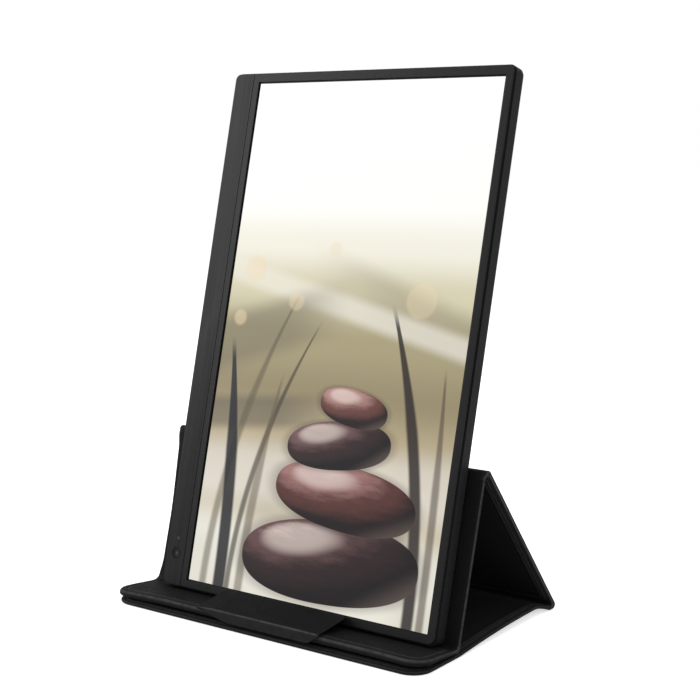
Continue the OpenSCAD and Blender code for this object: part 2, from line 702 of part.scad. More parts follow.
button_top = 0.1;
stem_r = 1.3;
stem_end = switch_top - plunger_h - button_travel - fit;
module power_button() color("#1c1d1f") on_monitor() translate([button_x, 0, button_z]) rotate([-90, 0, 0])
    difference() {
        union() {
            translate([0, 0, button_top]) cylinder(r = button_r, h = bezel_t + fit + button_flange_t - button_top);
            translate([0, 0, bezel_t + fit]) cylinder(r = button_flange_r, h = button_flange_t);
            cylinder_between(bezel_t, stem_end, stem_r);
        }
        translate([0, 0, -dish_r + button_top + dish_depth]) sphere(dish_r);
    }
dish_r = 24;
dish_depth = 0.25;
module cylinder_between(z0, z1, r) translate([0, 0, z0]) cylinder(r = r, h = z1 - z0);

base_skin();
base_board_front();
base_board_rear();
spine_board();
base_lining();
strut_skin();
strut_board();
strut_lining();
rear_crease_fold();
support_skin();
support_board();
support_lining();
support_magnets();
top_crease_fold();
front_panel_skin();
front_panel_board();
front_panel_lining();
front_bend_fold();
flap_skin();
flap_board();
flap_crease_fold();
front_bezel();
brushed_strip();
rear_cover();
lcd_cell();
film_stack();
light_guide();
reflector();
backlight_strip();
screen_tray();
panel_flexes();
timing_board();
ribbon_cable();
main_board();
shield_can();
board_chips();
cable_socket();
socket_tongue();
button_board();
tact_switch();
status_lamp();
light_pipe();
steel_plate();
case_screws();
board_screws();
rubber_pads();
power_button();
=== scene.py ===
import json
import math
import bpy
import bmesh
from mathutils import Vector, Matrix, noise


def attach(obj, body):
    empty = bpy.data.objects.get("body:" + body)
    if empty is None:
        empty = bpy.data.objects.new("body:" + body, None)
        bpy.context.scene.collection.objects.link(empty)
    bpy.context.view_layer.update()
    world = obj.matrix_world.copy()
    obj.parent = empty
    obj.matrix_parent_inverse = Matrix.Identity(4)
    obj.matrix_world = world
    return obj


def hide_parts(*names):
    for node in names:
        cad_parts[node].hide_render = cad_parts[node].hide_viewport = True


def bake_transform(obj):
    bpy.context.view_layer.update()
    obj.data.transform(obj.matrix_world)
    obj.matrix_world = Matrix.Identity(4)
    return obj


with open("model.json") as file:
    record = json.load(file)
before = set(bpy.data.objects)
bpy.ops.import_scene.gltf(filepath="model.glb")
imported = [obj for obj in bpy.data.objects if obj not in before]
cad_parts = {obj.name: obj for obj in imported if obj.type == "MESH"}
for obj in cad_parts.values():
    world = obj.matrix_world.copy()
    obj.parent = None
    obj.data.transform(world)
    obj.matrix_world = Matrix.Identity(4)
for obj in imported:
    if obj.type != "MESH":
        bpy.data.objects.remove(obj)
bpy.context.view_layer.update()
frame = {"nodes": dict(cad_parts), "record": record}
MM = 0.001

# ---------------------------------------------------------------- sizes, in mm, as in the CAD

# The lit area and the rims beside and below it
SCREEN_W, SCREEN_H = 193.6, 344.2
CHIN_W, SIDE_W, BOTTOM_H = 23.2, 6.7, 6.8
# The monitor's thickness, its lean in degrees, its place across, and its width
MON_T, MON_LEAN, MON_X = 13.0, 14.0, 3.8
MON_W = CHIN_W + SCREEN_W + SIDE_W
LIT_X = -MON_W / 2 + CHIN_W
# How deep the face of the screen lies, at most
CELL_FRONT = 1.3
# The button's middle, in from the lit area and up from the foot
BUTTON_IN, BUTTON_Z = 13.6, 22.8
# The cover's panels: widths and lengths, then a panel's thickness, its lining, skin and the gap at a crease
BASE_W, BASE_LEN, PANEL_W, FRONT_LEN = 250.0, 164.5, 250.0, 41.25
PT, LINING, SKIN, GAP = 2.6, 0.6, 0.7, 0.8
# The slopes in degrees: strut, support panel, front panel
STRUT_A, LEAN, RISE = 50.2, 15.3, 6.5
# The front panel's setback and its thickness at the front
FRONT_SETBACK, FRONT_T = 0.3, 5.0
# How far the leather stands out: top left corner, right edge, and the strut's thickness
FLARE, OUTSTAND, BULGE = 1.3, 1.8, 0.5
# Hems, the room between a hem and its board, the lines pressed into a broad hem, and the panels' corners
HEM, BROAD_HEM, FIT, HEM_LINES = 3.5, 8.0, 0.2, (3.0, 5.6)
FRONT_R, SQUARE_R, CLOTH_R = 14.0, 0.6, 0.8
FLAP_W, FLAP_TAPER, FLAP_T, FLAP_RISE, FLAP_X, FLAP_GAP = 100.0, 1.0, 1.8, 7.0, 0.0, 0.5
FOOT_GAP, SEAT_GAP, BACK_R = 0.3, 0.3, 2.5
# The base's bow: its height, where it starts, peaks and lands, and the joints of its boards
ARCH_H, CREASE_Y, ARCH_Y, LANDING_Y = 4.5, -36.0, 58.0, BASE_LEN / 2 - 1.5
BOARD_JOINTS = (-36.0, 50.0)


def cosd(a):
    return math.cos(math.radians(a))


def sind(a):
    return math.sin(math.radians(a))


def polar(p, r, a):
    """The side-view point at distance r from p, along angle a in degrees."""
    return (p[0] + r * cosd(a), p[1] + r * sind(a))


# Side-view points (y, z): the crease lines, the monitor's seat and foot, and the flap's hinge
REAR = (BASE_LEN / 2 - PT, PT)
BEND = (FRONT_SETBACK + FLAP_T - BASE_LEN / 2 + FRONT_LEN * cosd(RISE), PT + FOOT_GAP + PT)
SPAN = (REAR[0] - BEND[0] - PT * cosd(LEAN), REAR[1] - BEND[1] + PT * sind(LEAN))
STRUT_LEN = (SPAN[0] * cosd(LEAN) - SPAN[1] * sind(LEAN)) / cosd(STRUT_A - LEAN)
TOP = polar(REAR, STRUT_LEN, 180 - STRUT_A)
SUP_TOP = polar(TOP, PT, 180 - LEAN)
SUP_LEN = math.hypot(SUP_TOP[0] - BEND[0], SUP_TOP[1] - BEND[1])
HINGE = polar(BEND, FRONT_LEN, 180 - RISE)
N1 = (sind(RISE), cosd(RISE))
N2 = (-cosd(LEAN), sind(LEAN))
DET = N1[0] * N2[1] - N1[1] * N2[0]
OFF = BACK_R + SEAT_GAP
SEAT = (BEND[0] + OFF / DET * (N2[1] - N1[1]), BEND[1] + OFF / DET * (N1[0] - N2[0]))
UP = (sind(MON_LEAN), cosd(MON_LEAN))
BACK = (cosd(MON_LEAN), -sind(MON_LEAN))
FOOT = tuple(SEAT[i] - (MON_T - BACK_R) * BACK[i] - BACK_R * UP[i] for i in (0, 1))
FOOT_UP = FOOT[0] * UP[0] + FOOT[1] * UP[1]
FOOT_DEPTH = FOOT[0] * BACK[0] + FOOT[1] * BACK[1]
ACROSS, UPWARD, INWARD = (1, 0, 0), (0, *UP), (0, *BACK)
FLAP_DIR = (cosd(FLAP_RISE), sind(FLAP_RISE))
FLAP_LEN = (sum((FOOT[i] - HINGE[i]) * BACK[i] for i in (0, 1)) - FLAP_GAP) / sum(
    FLAP_DIR[i] * BACK[i] for i in (0, 1))

# ---------------------------------------------------------------- camera

# Azimuth and elevation in degrees, place in metres, focal length and sensor in mm, shift of the picture's height
AZ, EL = 35.847, 9.6435
CAMERA_AT = (0.56177, -0.75601, 0.30765)
LENS, SENSOR, SHIFT = 74.274, 36.0, 40.0 / 700.0
cam_data = bpy.data.cameras.new("camera")
cam = bpy.data.objects.new("camera", cam_data)
bpy.context.scene.collection.objects.link(cam)
cam_data.sensor_width = SENSOR
cam_data.lens = LENS
cam_data.shift_y = SHIFT
cam_data.clip_start = 0.05
right = Vector((cosd(AZ), sind(AZ), 0))
back = Vector((sind(AZ) * cosd(EL), -cosd(AZ) * cosd(EL), sind(EL)))
upv = back.cross(right)
cam.matrix_world = Matrix.Translation(CAMERA_AT) @ Matrix((right, upv, back)).transposed().to_4x4()
bpy.context.scene.camera = cam

# ---------------------------------------------------------------- shader helpers


class Graph:
    """A short way to write shader nodes."""

    def __init__(self, name):
        self.mat = bpy.data.materials.new(name)
        self.mat.use_nodes = True
        self.nt = self.mat.node_tree
        self.bsdf = self.nt.nodes["Principled BSDF"]
        self.coord = self.nt.nodes.new("ShaderNodeTexCoord").outputs["Object"]

    def link(self, value, socket):
        if isinstance(value, bpy.types.NodeSocket):
            self.nt.links.new(value, socket)
        else:
            socket.default_value = value

    def m(self, op, a, b=0.0, clamp=False):
        n = self.nt.nodes.new("ShaderNodeMath")
        n.operation = op
        n.use_clamp = clamp
        self.link(a, n.inputs[0])
        self.link(b, n.inputs[1])
        return n.outputs[0]

    def attr(self, name):
        n = self.nt.nodes.new("ShaderNodeAttribute")
        n.attribute_name = name
        return n.outputs["Fac"]

    def length(self, x, y):
        return self.m("SQRT", self.m("ADD", self.m("MULTIPLY", x, x), self.m("MULTIPLY", y, y)))

    def dot(self, vec, d):
        n = self.nt.nodes.new("ShaderNodeVectorMath")
        n.operation = "DOT_PRODUCT"
        self.link(vec, n.inputs[0])
        n.inputs[1].default_value = d
        return n.outputs["Value"]

    def mm(self, direction, start):
        """How far along a direction a point lies beyond start, in mm."""
        return self.m("SUBTRACT", self.m("MULTIPLY", self.dot(self.coord, direction), 1 / MM), start)

    def scaled(self, scale):
        n = self.nt.nodes.new("ShaderNodeMapping")
        self.link(self.coord, n.inputs["Vector"])
        n.inputs["Scale"].default_value = scale
        return n.outputs[0]

    def vec(self, x, y, z):
        n = self.nt.nodes.new("ShaderNodeCombineXYZ")
        for v, s in zip((x, y, z), n.inputs):
            self.link(v, s)
        return n.outputs[0]

    def noise(self, vec, scale, detail=2.0, rough=0.5):
        n = self.nt.nodes.new("ShaderNodeTexNoise")
        self.link(vec, n.inputs["Vector"])
        n.inputs["Scale"].default_value = scale
        n.inputs["Detail"].default_value = detail
        n.inputs["Roughness"].default_value = rough
        return n.outputs["Fac"]

    def cells(self, vec, scale, feature="F1"):
        n = self.nt.nodes.new("ShaderNodeTexVoronoi")
        n.feature = feature
        self.link(vec, n.inputs["Vector"])
        n.inputs["Scale"].default_value = scale
        return n.outputs["Distance"]

    def span(self, value, a, b, lo=0.0, hi=1.0, kind="SMOOTHSTEP"):
        n = self.nt.nodes.new("ShaderNodeMapRange")
        n.interpolation_type = kind
        self.link(value, n.inputs["Value"])
        n.inputs["From Min"].default_value = a
        n.inputs["From Max"].default_value = b
        n.inputs["To Min"].default_value = lo
        n.inputs["To Max"].default_value = hi
        return n.outputs["Result"]

    def mix(self, fac, a, b):
        n = self.nt.nodes.new("ShaderNodeMix")
        n.data_type = "RGBA"
        self.link(fac, n.inputs[0])
        self.link(a if isinstance(a, bpy.types.NodeSocket) else (*a, 1), n.inputs[6])
        self.link(b if isinstance(b, bpy.types.NodeSocket) else (*b, 1), n.inputs[7])
        return n.outputs[2]

    def ramp(self, fac, stops):
        n = self.nt.nodes.new("ShaderNodeValToRGB")
        n.color_ramp.interpolation = "EASE"
        els = n.color_ramp.elements
        while len(els) < len(stops):
            els.new(0.5)
        for e, (p, c) in zip(els, stops):
            e.position = p
            e.color = (*c, 1)
        self.link(fac, n.inputs[0])
        return n.outputs[0]

    def bump(self, height, strength, distance, normal=None):
        n = self.nt.nodes.new("ShaderNodeBump")
        n.inputs["Strength"].default_value = strength
        n.inputs["Distance"].default_value = distance
        self.link(height, n.inputs["Height"])
        if normal is not None:
            self.link(normal, n.inputs["Normal"])
        return n.outputs[0]

    def set(self, **values):
        names = {"color": "Base Color", "rough": "Roughness", "metal": "Metallic", "spec": "Specular IOR Level",
                 "normal": "Normal", "sheen": "Sheen Weight", "sheen_rough": "Sheen Roughness",
                 "aniso": "Anisotropic", "glow": "Emission Color", "glow_strength": "Emission Strength"}
        for k, v in values.items():
            if k in ("color", "glow") and not isinstance(v, bpy.types.NodeSocket):
                v = (*v, 1)
            self.link(v, self.bsdf.inputs[names[k]])
        return self.mat


def srgb(r, g, b):
    def f(c):
        c /= 255.0
        return c / 12.92 if c <= 0.04045 else ((c + 0.055) / 1.055) ** 2.4
    return (f(r), f(g), f(b))


# ---------------------------------------------------------------- materials


def leather(name, dark, light, rough, spec, grain=1.0):
    g = Graph(name)
    pebble = g.cells(g.coord, 1300.0)
    pores = g.noise(g.coord, 2600.0, 3.0)
    broad = g.noise(g.coord, 60.0, 3.0)
    tone = g.m("ADD", g.m("MULTIPLY", broad, 0.6), g.m("MULTIPLY", pebble, 0.5))
    h = g.bump(g.m("ADD", pebble, g.m("MULTIPLY", pores, 0.4)), 0.35 * grain, 0.00012)
    h = g.bump(broad, 0.25, 0.0008, h)
    # painted highlight: the vertex attribute lightens the leather towards srgb(82, 82, 84) along rims, crease ends
    # and groove lips, broken up by noise
    highlight = g.m("MULTIPLY", g.attr("wear"), g.span(g.noise(g.coord, 240.0, 2.0), 0.25, 0.6, 0.55, 1.0), clamp=True)
    return g.set(color=g.mix(highlight, g.mix(tone, dark, light), srgb(82, 82, 84)),
                 rough=g.span(g.noise(g.coord, 500.0), 0.3, 0.7, rough - 0.06, rough + 0.08), spec=spec, normal=h)


def microfibre():
    g = Graph("lining_microfibre")
    fuzz = g.noise(g.coord, 3200.0, 4.0, 0.7)
    nap = g.noise(g.coord, 90.0, 2.0)
    return g.set(color=g.mix(g.m("ADD", g.m("MULTIPLY", fuzz, 0.6), g.m("MULTIPLY", nap, 0.4)),
                             srgb(10, 10, 11), srgb(21, 21, 23)),
                 rough=0.9, spec=0.03, sheen=0.015, sheen_rough=0.6, normal=g.bump(fuzz, 0.5, 0.00015))


def plastic(name, dark, light, rough, spec, grain=0.3):
    g = Graph(name)
    fine = g.noise(g.coord, 5200.0, 2.0)
    wide = g.noise(g.coord, 26.0, 2.0)
    return g.set(color=g.mix(wide, dark, light), rough=g.span(fine, 0.2, 0.8, rough - 0.05, rough + 0.05),
                 spec=spec, normal=g.bump(fine, grain, 0.00006))


def along_monitor(g, across, along, deep):
    """Texture space turned with the monitor: across it, up it and into it."""
    return g.vec(*(g.dot(g.coord, [c * scale for c in axis])
                   for axis, scale in ((ACROSS, across), (UPWARD, along), (INWARD, deep))))


def brushed(name, dark, light, rough, metal):
    g = Graph(name)
    hair = g.noise(along_monitor(g, 5200.0, 26.0, 800.0), 1.0, 3.0, 0.6)
    band = g.noise(along_monitor(g, 700.0, 9.0, 200.0), 1.0, 2.0)
    tone = g.m("ADD", g.m("MULTIPLY", hair, 0.65), g.m("MULTIPLY", band, 0.35))
    return g.set(color=g.mix(g.span(tone, 0.3, 0.7), dark, light), metal=metal,
                 rough=g.span(hair, 0.2, 0.8, rough - 0.1, rough + 0.1), aniso=0.5, spec=0.4,
                 normal=g.bump(hair, 0.3, 0.00008))


def sheet_metal(name, tone):
    g = Graph(name)
    fine = g.noise(g.scaled((60, 1200, 60)), 3.0, 3.0)
    return g.set(color=g.mix(fine, [c * 0.85 for c in tone], tone), metal=1.0,
                 rough=g.span(fine, 0.3, 0.7, 0.28, 0.42), normal=g.bump(fine, 0.1, 0.00005))


def board_green():
    g = Graph("circuit_board_green")
    tracks = g.cells(g.scaled((400, 400, 90)), 1.0, "DISTANCE_TO_EDGE")
    return g.set(color=g.mix(g.span(tracks, 0.03, 0.06), (0.06, 0.22, 0.07), (0.02, 0.11, 0.035)),
                 rough=0.35, spec=0.5, normal=g.bump(tracks, 0.1, 0.00005))


def clear(name, tone, glow=0.0, spec=0.5):
    g = Graph(name)
    n = g.noise(g.coord, 900.0, 1.0)
    return g.set(color=g.mix(n, [c * 0.96 for c in tone], tone), rough=0.3, spec=spec, glow=tone, glow_strength=glow)


def pressed_board():
    g = Graph("greyboard")
    n = g.noise(g.coord, 1500.0, 4.0, 0.7)
    return g.set(color=g.mix(n, srgb(120, 106, 80), srgb(160, 146, 116)), rough=0.85, spec=0.2,
                 normal=g.bump(n, 0.3, 0.0001))


LEATHER = leather("cover_leather_black", srgb(11, 11, 12), srgb(24, 24, 25), 0.58, 0.05)
LEATHER_TOP = leather("cover_leather_top", srgb(13, 13, 14), srgb(28, 28, 29), 0.66, 0.035, 1.3)
LINING_MAT = microfibre()


def button_material():
    """Spun metal, dark towards its rim, with a small paler middle that is a painted glint."""
    g = Graph("button_spun")
    r = g.length(g.mm(ACROSS, MON_X + LIT_X - BUTTON_IN), g.mm(UPWARD, FOOT_UP + BUTTON_Z))
    spun = g.noise(g.vec(g.m("MULTIPLY", r, 9.0), 0.0, 0.0), 1.0, 2.0)
    col = g.mix(spun, srgb(26, 26, 27), srgb(40, 40, 41))
    # dish darkens all but the middle, which is left paler as a painted glint
    dish = g.span(r, 0.9, 1.7, 0.0, 1.0)
    rim = g.span(r, 2.5, 3.0)
    col = g.mix(g.m("MAXIMUM", g.m("MULTIPLY", dish, 0.75), rim), col, srgb(12, 12, 12))
    return g.set(color=col, metal=0.8, rough=g.span(spun, 0.3, 0.7, 0.28, 0.44), spec=0.3,
                 normal=g.bump(g.m("ADD", spun, g.m("MULTIPLY", rim, -1.5)), 0.3, 0.0001))


BUTTON = button_material()
BEZEL = plastic("bezel_matt_black", srgb(20, 20, 21), srgb(25, 25, 26), 0.36, 0.115)
SHELL = plastic("rear_cover_matt_black", srgb(27, 27, 28), srgb(33, 33, 34), 0.5, 0.04, 0.5)
STRIP = brushed("control_strip_brushed", srgb(21, 21, 21), srgb(36, 36, 37), 0.44, 0.85)
RUBBER = plastic("pad_rubber", srgb(16, 16, 17), srgb(23, 23, 24), 0.8, 0.2, 0.8)
STEEL = sheet_metal("plated_steel", (0.55, 0.56, 0.58))
PCB = board_green()
CHIP = plastic("chip_epoxy", srgb(18, 18, 19), srgb(26, 26, 28), 0.5, 0.4)
FILM = clear("film_white", (0.86, 0.88, 0.9))
COPPER = clear("flex_amber", (0.55, 0.28, 0.08))
LAMP = clear("lamp_clear", srgb(66, 66, 68), spec=0.05)
GREYBOARD = pressed_board()

SLOT_MATERIAL = {
    "cover_leather": LEATHER, "cover_lining": LINING_MAT, "stiff_board": GREYBOARD, "magnet": STEEL,
    "bezel_plastic": BEZEL, "strip_metal": STRIP, "cover_plastic": SHELL, "optical_film": FILM, "tray_steel": STEEL,
    "circuit_board": PCB, "flex_copper": COPPER, "chip_black": CHIP, "socket_steel": STEEL, "foot_rubber": RUBBER,
    "lamp_clear": LAMP, "button_metal": BUTTON,
}

# ---------------------------------------------------------------- the picture on the screen


def screen_material():
    """A generic picture: pale sky, blurred bands and lights, reeds and a pile of smooth brown stones."""
    g = Graph("screen_picture")
    x = g.mm(ACROSS, MON_X + LIT_X)
    y = g.mm(UPWARD, FOOT_UP + BOTTOM_H)
    v = g.m("DIVIDE", y, SCREEN_H)
    col = g.ramp(v, [
        (0.00, srgb(232, 228, 216)), (0.10, srgb(238, 236, 224)), (0.18, srgb(206, 196, 174)),
        (0.30, srgb(186, 172, 140)), (0.40, srgb(150, 138, 106)), (0.50, srgb(168, 158, 122)),
        (0.60, srgb(214, 208, 178)), (0.68, srgb(240, 237, 222)), (0.77, srgb(252, 252, 248)), (1.00, (1, 1, 1))])
    cloud = g.noise(g.vec(g.m("MULTIPLY", x, 0.012), g.m("MULTIPLY", y, 0.012), 3.0), 1.0, 1.0)
    fade = g.span(y, 60.0, 250.0, 1.0, 0.0)
    col = g.mix(g.m("MULTIPLY", g.span(cloud, 0.4, 0.7), g.m("MULTIPLY", fade, 0.35)), col, srgb(150, 138, 112))

    def band(col, slope, at, half, soft, tone, amount, gate=None):
        d = g.m("ABSOLUTE", g.m("SUBTRACT", g.m("SUBTRACT", y, g.m("MULTIPLY", x, slope)), at))
        f = g.span(d, half, half + soft, amount, 0.0)
        if gate is not None:
            f = g.m("MULTIPLY", f, gate)
        return g.mix(f, col, tone)

    right_side = g.span(x, 60.0, 150.0)
    left_side = g.span(x, 50.0, 110.0, 1.0, 0.0)
    col = band(col, -0.34, 244.0, 7.0, 16.0, srgb(150, 142, 116), 0.55, right_side)
    col = band(col, -0.22, 216.0, 3.0, 9.0, srgb(238, 234, 222), 0.6)
    col = band(col, 0.30, 164.0, 10.0, 16.0, srgb(118, 110, 90), 0.6, left_side)
    col = band(col, 0.10, 116.0, 6.0, 9.0, srgb(96, 89, 78), 0.65, left_side)
    col = band(col, 0.04, 78.0, 8.0, 22.0, srgb(236, 232, 226), 0.5)

    def reed(col, at, slope, half, soft, tone, amount, top):
        swing = g.m("MULTIPLY", g.m("MULTIPLY", y, y), slope * 0.012)
        d = g.m("ABSOLUTE", g.m("SUBTRACT", g.m("SUBTRACT", x, swing), at))
        wide = g.span(y, top - 60.0, top, 1.0, 0.35, "LINEAR")
        f = g.m("MULTIPLY", g.span(g.m("DIVIDE", d, wide), half, half + soft, amount, 0.0),
                g.span(y, top, top + 18.0, 1.0, 0.0))
        return g.mix(f, col, tone)

    for at, slope, half, soft, tone, amount, top in (
            (12.0, 0.10, 1.2, 3.4, srgb(96, 88, 66), 0.65, 186.0),
            (26.0, -0.05, 3.6, 2.6, srgb(26, 28, 34), 0.96, 152.0),
            (33.0, 0.12, 1.0, 2.4, srgb(70, 64, 52), 0.8, 168.0),
            (43.0, 0.05, 1.8, 3.0, srgb(104, 94, 72), 0.65, 132.0),
            (178.0, -0.09, 2.8, 2.8, srgb(36, 28, 28), 0.94, 182.0),
            (187.0, -0.02, 1.4, 2.6, srgb(84, 72, 62), 0.7, 146.0)):
        col = reed(col, at, slope, half, soft, tone, amount, top)

    def disc(col, cx, cy, r, tone, amount):
        d = g.length(g.m("SUBTRACT", x, cx), g.m("SUBTRACT", y, cy))
        return g.mix(g.span(d, r - 1.2, r + 1.6, amount, 0.0), col, tone)

    for cx, cy, r, amount in (
            (20, 216, 9, 0.4), (58, 196, 6, 0.35), (156, 202, 11, 0.3), (84, 232, 5, 0.3), (12, 182, 5, 0.45)):
        col = disc(col, cx, cy, r, srgb(238, 214, 176), amount)

    def stone(col, cx, cy, rx, ry, turn, low, mid, high):
        dx = g.m("SUBTRACT", x, cx)
        dy = g.m("SUBTRACT", y, cy)
        px = g.m("DIVIDE", g.m("ADD", g.m("MULTIPLY", dx, cosd(turn)), g.m("MULTIPLY", dy, sind(turn))), rx)
        py = g.m("DIVIDE", g.m("SUBTRACT", g.m("MULTIPLY", dy, cosd(turn)), g.m("MULTIPLY", dx, sind(turn))), ry)
        d = g.m("ADD", g.m("POWER", g.m("ABSOLUTE", px), 2.3), g.m("POWER", g.m("ABSOLUTE", py), 2.3))
        pz = g.m("SQRT", g.m("SUBTRACT", 1.0, d, clamp=True))
        grain = g.noise(g.vec(g.m("MULTIPLY", x, 0.05), g.m("MULTIPLY", y, 0.2), cx), 1.0, 4.0, 0.6)
        speck = g.noise(g.vec(g.m("MULTIPLY", x, 0.9), g.m("MULTIPLY", y, 0.9), cy), 1.0, 2.0)
        lit = g.m("ADD", g.m("ADD", g.m("MULTIPLY", px, -0.40), g.m("MULTIPLY", py, 0.62)), g.m("MULTIPLY", pz, 0.58))
        mottle = g.m("ADD", g.m("MULTIPLY", g.m("SUBTRACT", grain, 0.5), 0.30),
                     g.m("MULTIPLY", g.m("SUBTRACT", speck, 0.5), 0.10))
        tone = g.m("ADD", g.m("ADD", g.m("MULTIPLY", lit, 0.78), 0.06), mottle, clamp=True)
        body = g.ramp(tone, [(0.0, low), (0.42, mid), (0.74, high), (1.0, srgb(206, 176, 164))])
        gleam = g.m("ADD", g.m("ADD", g.m("MULTIPLY", px, -0.34), g.m("MULTIPLY", py, 0.52)),
                    g.m("MULTIPLY", pz, 0.78))
        body = g.mix(g.span(gleam, 0.86, 1.0, 0.0, 0.45), body, srgb(240, 226, 218))
        below = g.m("ADD", g.m("MULTIPLY", px, 0.7), g.m("MULTIPLY", py, -0.5))
        bounce = g.m("MULTIPLY", g.span(below, 0.55, 1.0), 0.22)
        body = g.mix(bounce, body, srgb(170, 150, 140))
        col = g.mix(g.span(d, 0.9, 1.5, 0.4, 0.0), col, srgb(70, 58, 52))
        return g.mix(g.span(d, 0.965, 1.0, 1.0, 0.0), col, body)

    for place, low, mid, high in (
            ((112, 30, 70, 27, 3), (16, 10, 11), (40, 24, 25), (98, 70, 70)),
            ((118, 72, 56, 21, -5), (24, 12, 12), (84, 48, 44), (158, 116, 112)),
            ((108, 105, 41, 16, 6), (16, 11, 12), (48, 30, 31), (112, 84, 84)),
            ((116, 130, 27, 12, -8), (30, 16, 15), (100, 60, 54), (176, 134, 128))):
        col = stone(col, *place, srgb(*low), srgb(*mid), srgb(*high))
    edge_x = g.m("SUBTRACT", SCREEN_W / 2, g.m("ABSOLUTE", g.m("SUBTRACT", x, SCREEN_W / 2)))
    edge_y = g.m("SUBTRACT", SCREEN_H / 2, g.m("ABSOLUTE", g.m("SUBTRACT", y, SCREEN_H / 2)))
    face = g.m("LESS_THAN", g.dot(g.coord, INWARD), (FOOT_DEPTH + CELL_FRONT) * MM)
    lit = g.m("MULTIPLY", g.m("GREATER_THAN", g.m("MINIMUM", edge_x, edge_y), 0.0), face)
    picture = g.mix(lit, (0.0, 0.0, 0.0), col)
    return g.set(color=(0.004, 0.004, 0.005), rough=0.4, spec=0.15, glow=picture, glow_strength=1.0)


SCREEN = screen_material()

for name, node in frame["nodes"].items():
    slot = next(s["material_slot"] for s in frame["record"]["subparts"] if s["node"] == name)
    node.data.materials.clear()
    node.data.materials.append(SCREEN if name == "lcd_cell" else SLOT_MATERIAL[slot])

# ---------------------------------------------------------------- mesh helpers


def add_object(name, bm, material, body, smooth):
    mesh = bpy.data.meshes.new(name)
    bmesh.ops.recalc_face_normals(bm, faces=bm.faces)
    bm.to_mesh(mesh)
    bm.free()
    mesh.materials.append(material)
    for p in mesh.polygons:
        p.use_smooth = True
    mesh.set_sharp_from_angle(angle=math.radians(smooth))
    obj = bpy.data.objects.new(name, mesh)
    bpy.context.scene.collection.objects.link(obj)
    if body:
        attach(obj, body)
    return obj


def loft(bm, rows):
    """Joins closed rows of points, each to the next."""
    n = len(rows[0])
    for a, b in zip(rows, rows[1:]):
        for i in range(n):
            j = (i + 1) % n
            bm.faces.new((a[i], a[j], b[j], b[i]))


def stand_in(node):
    """The piece stands for a CAD node, which is hidden."""
    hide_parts(node)


def ring(w, y0, y1, r0, r1, d, nx, ny, nc=9):
    """A rounded outline, inset by d, always with the same count of points, from the front left corner round."""
    hw, a0, a1 = w / 2 - d, y0 + d, y1 - d
    q0, q1 = max(r0 - d, 0.35), max(r1 - d, 0.35)
    pts = []

    def corner(cx, cy, r, start):
        for i in range(nc + 1):
            a = start + 90.0 * i / nc
            pts.append((cx + r * cosd(a), cy + r * sind(a)))

    def side(p, q, n):
        for i in range(1, n):
            pts.append((p[0] + (q[0] - p[0]) * i / n, p[1] + (q[1] - p[1]) * i / n))

    corner(-hw + q0, a0 + q0, q0, 180)
    side((-hw + q0, a0), (hw - q0, a0), nx)
    corner(hw - q0, a0 + q0, q0, 270)
    side((hw, a0 + q0), (hw, a1 - q1), ny)
    corner(hw - q1, a1 - q1, q1, 0)
    side((hw - q1, a1), (-hw + q1, a1), nx)
    corner(-hw + q1, a1 - q1, q1, 90)
    side((-hw, a1 - q1), (-hw, a0 + q0), ny)
    return pts


# A pressed line: from its middle to its lips and to the edges of its bed, its depth and the painted highlight on its
# lips
LIP, BED, PRESSED, LIP_HIGHLIGHT = 0.65, 0.35, 0.4, 0.3
# Where on a rounded rim the painted highlight is strongest, and how far it spreads, in degrees
HIGHLIGHT_AT, HIGHLIGHT_SPREAD = 35.0, 17.0
SMOOTH = 50.0


